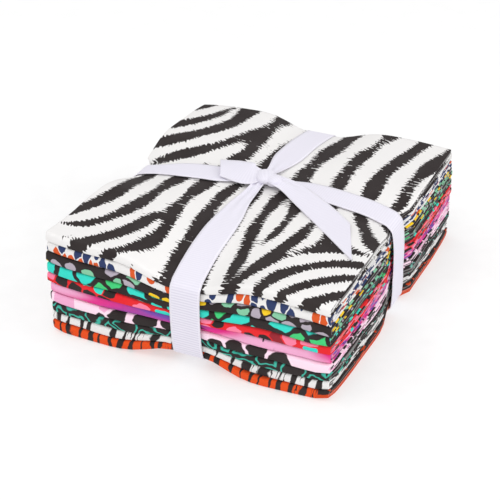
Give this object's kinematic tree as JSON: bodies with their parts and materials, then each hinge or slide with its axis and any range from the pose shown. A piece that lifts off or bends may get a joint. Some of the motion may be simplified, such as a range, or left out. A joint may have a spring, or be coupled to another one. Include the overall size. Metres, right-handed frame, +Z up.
{
  "type": "fat quarter bundle",
  "caption": "Stack of folded printed cotton fat quarters, tied crosswise with a flat ribbon knotted on top, its two cut ends lying over the cloth.",
  "frame": {"origin": "bottom centre of the bundle's bounding box, on the surface it rests on", "axes": "+Z up through the stack, +Y from the folded front edges towards the back, +X along the front folds"},
  "size_m": [0.1554, 0.1832, 0.0604],
  "materials": {
    "quarter_tiger_orange": "plain-weave cotton, orange printed with black tiger stripes, paler reverse",
    "quarter_stripe_black_white": "plain-weave cotton, black printed with irregular white stripes, paler reverse",
    "quarter_vein_teal": "plain-weave cotton, black printed with thin teal scales, paler reverse",
    "quarter_patch_pale_pink": "plain-weave cotton, pale pink printed with black-edged patches, paler reverse",
    "quarter_patch_magenta": "plain-weave cotton, magenta and purple printed with dark-edged patches, paler reverse",
    "quarter_patch_red": "plain-weave cotton, red and pink printed with teal and black patches, paler reverse",
    "quarter_patch_turquoise": "plain-weave cotton, black printed with turquoise and green patches, paler reverse",
    "quarter_patch_mint_black": "plain-weave cotton, black printed with mint, yellow and lilac patches, paler reverse",
    "quarter_spot_navy": "plain-weave cotton, white printed with navy and orange spots, paler reverse",
    "quarter_zebra": "plain-weave cotton, off-white printed with black zebra stripes, paler reverse",
    "ribbon": "white grosgrain ribbon, cross ribs, woven edges"
  },
  "bodies": {
    "root": {"quarter_tiger_orange": "quarter_tiger_orange", "quarter_stripe_black_white": "quarter_stripe_black_white", "quarter_vein_teal": "quarter_vein_teal", "quarter_patch_pale_pink": "quarter_patch_pale_pink", "quarter_patch_magenta": "quarter_patch_magenta", "quarter_patch_red": "quarter_patch_red", "quarter_patch_turquoise": "quarter_patch_turquoise", "quarter_patch_mint_black": "quarter_patch_mint_black", "quarter_spot_navy": "quarter_spot_navy", "quarter_zebra": "quarter_zebra", "ribbon": "ribbon"}
  },
  "joints": []
}
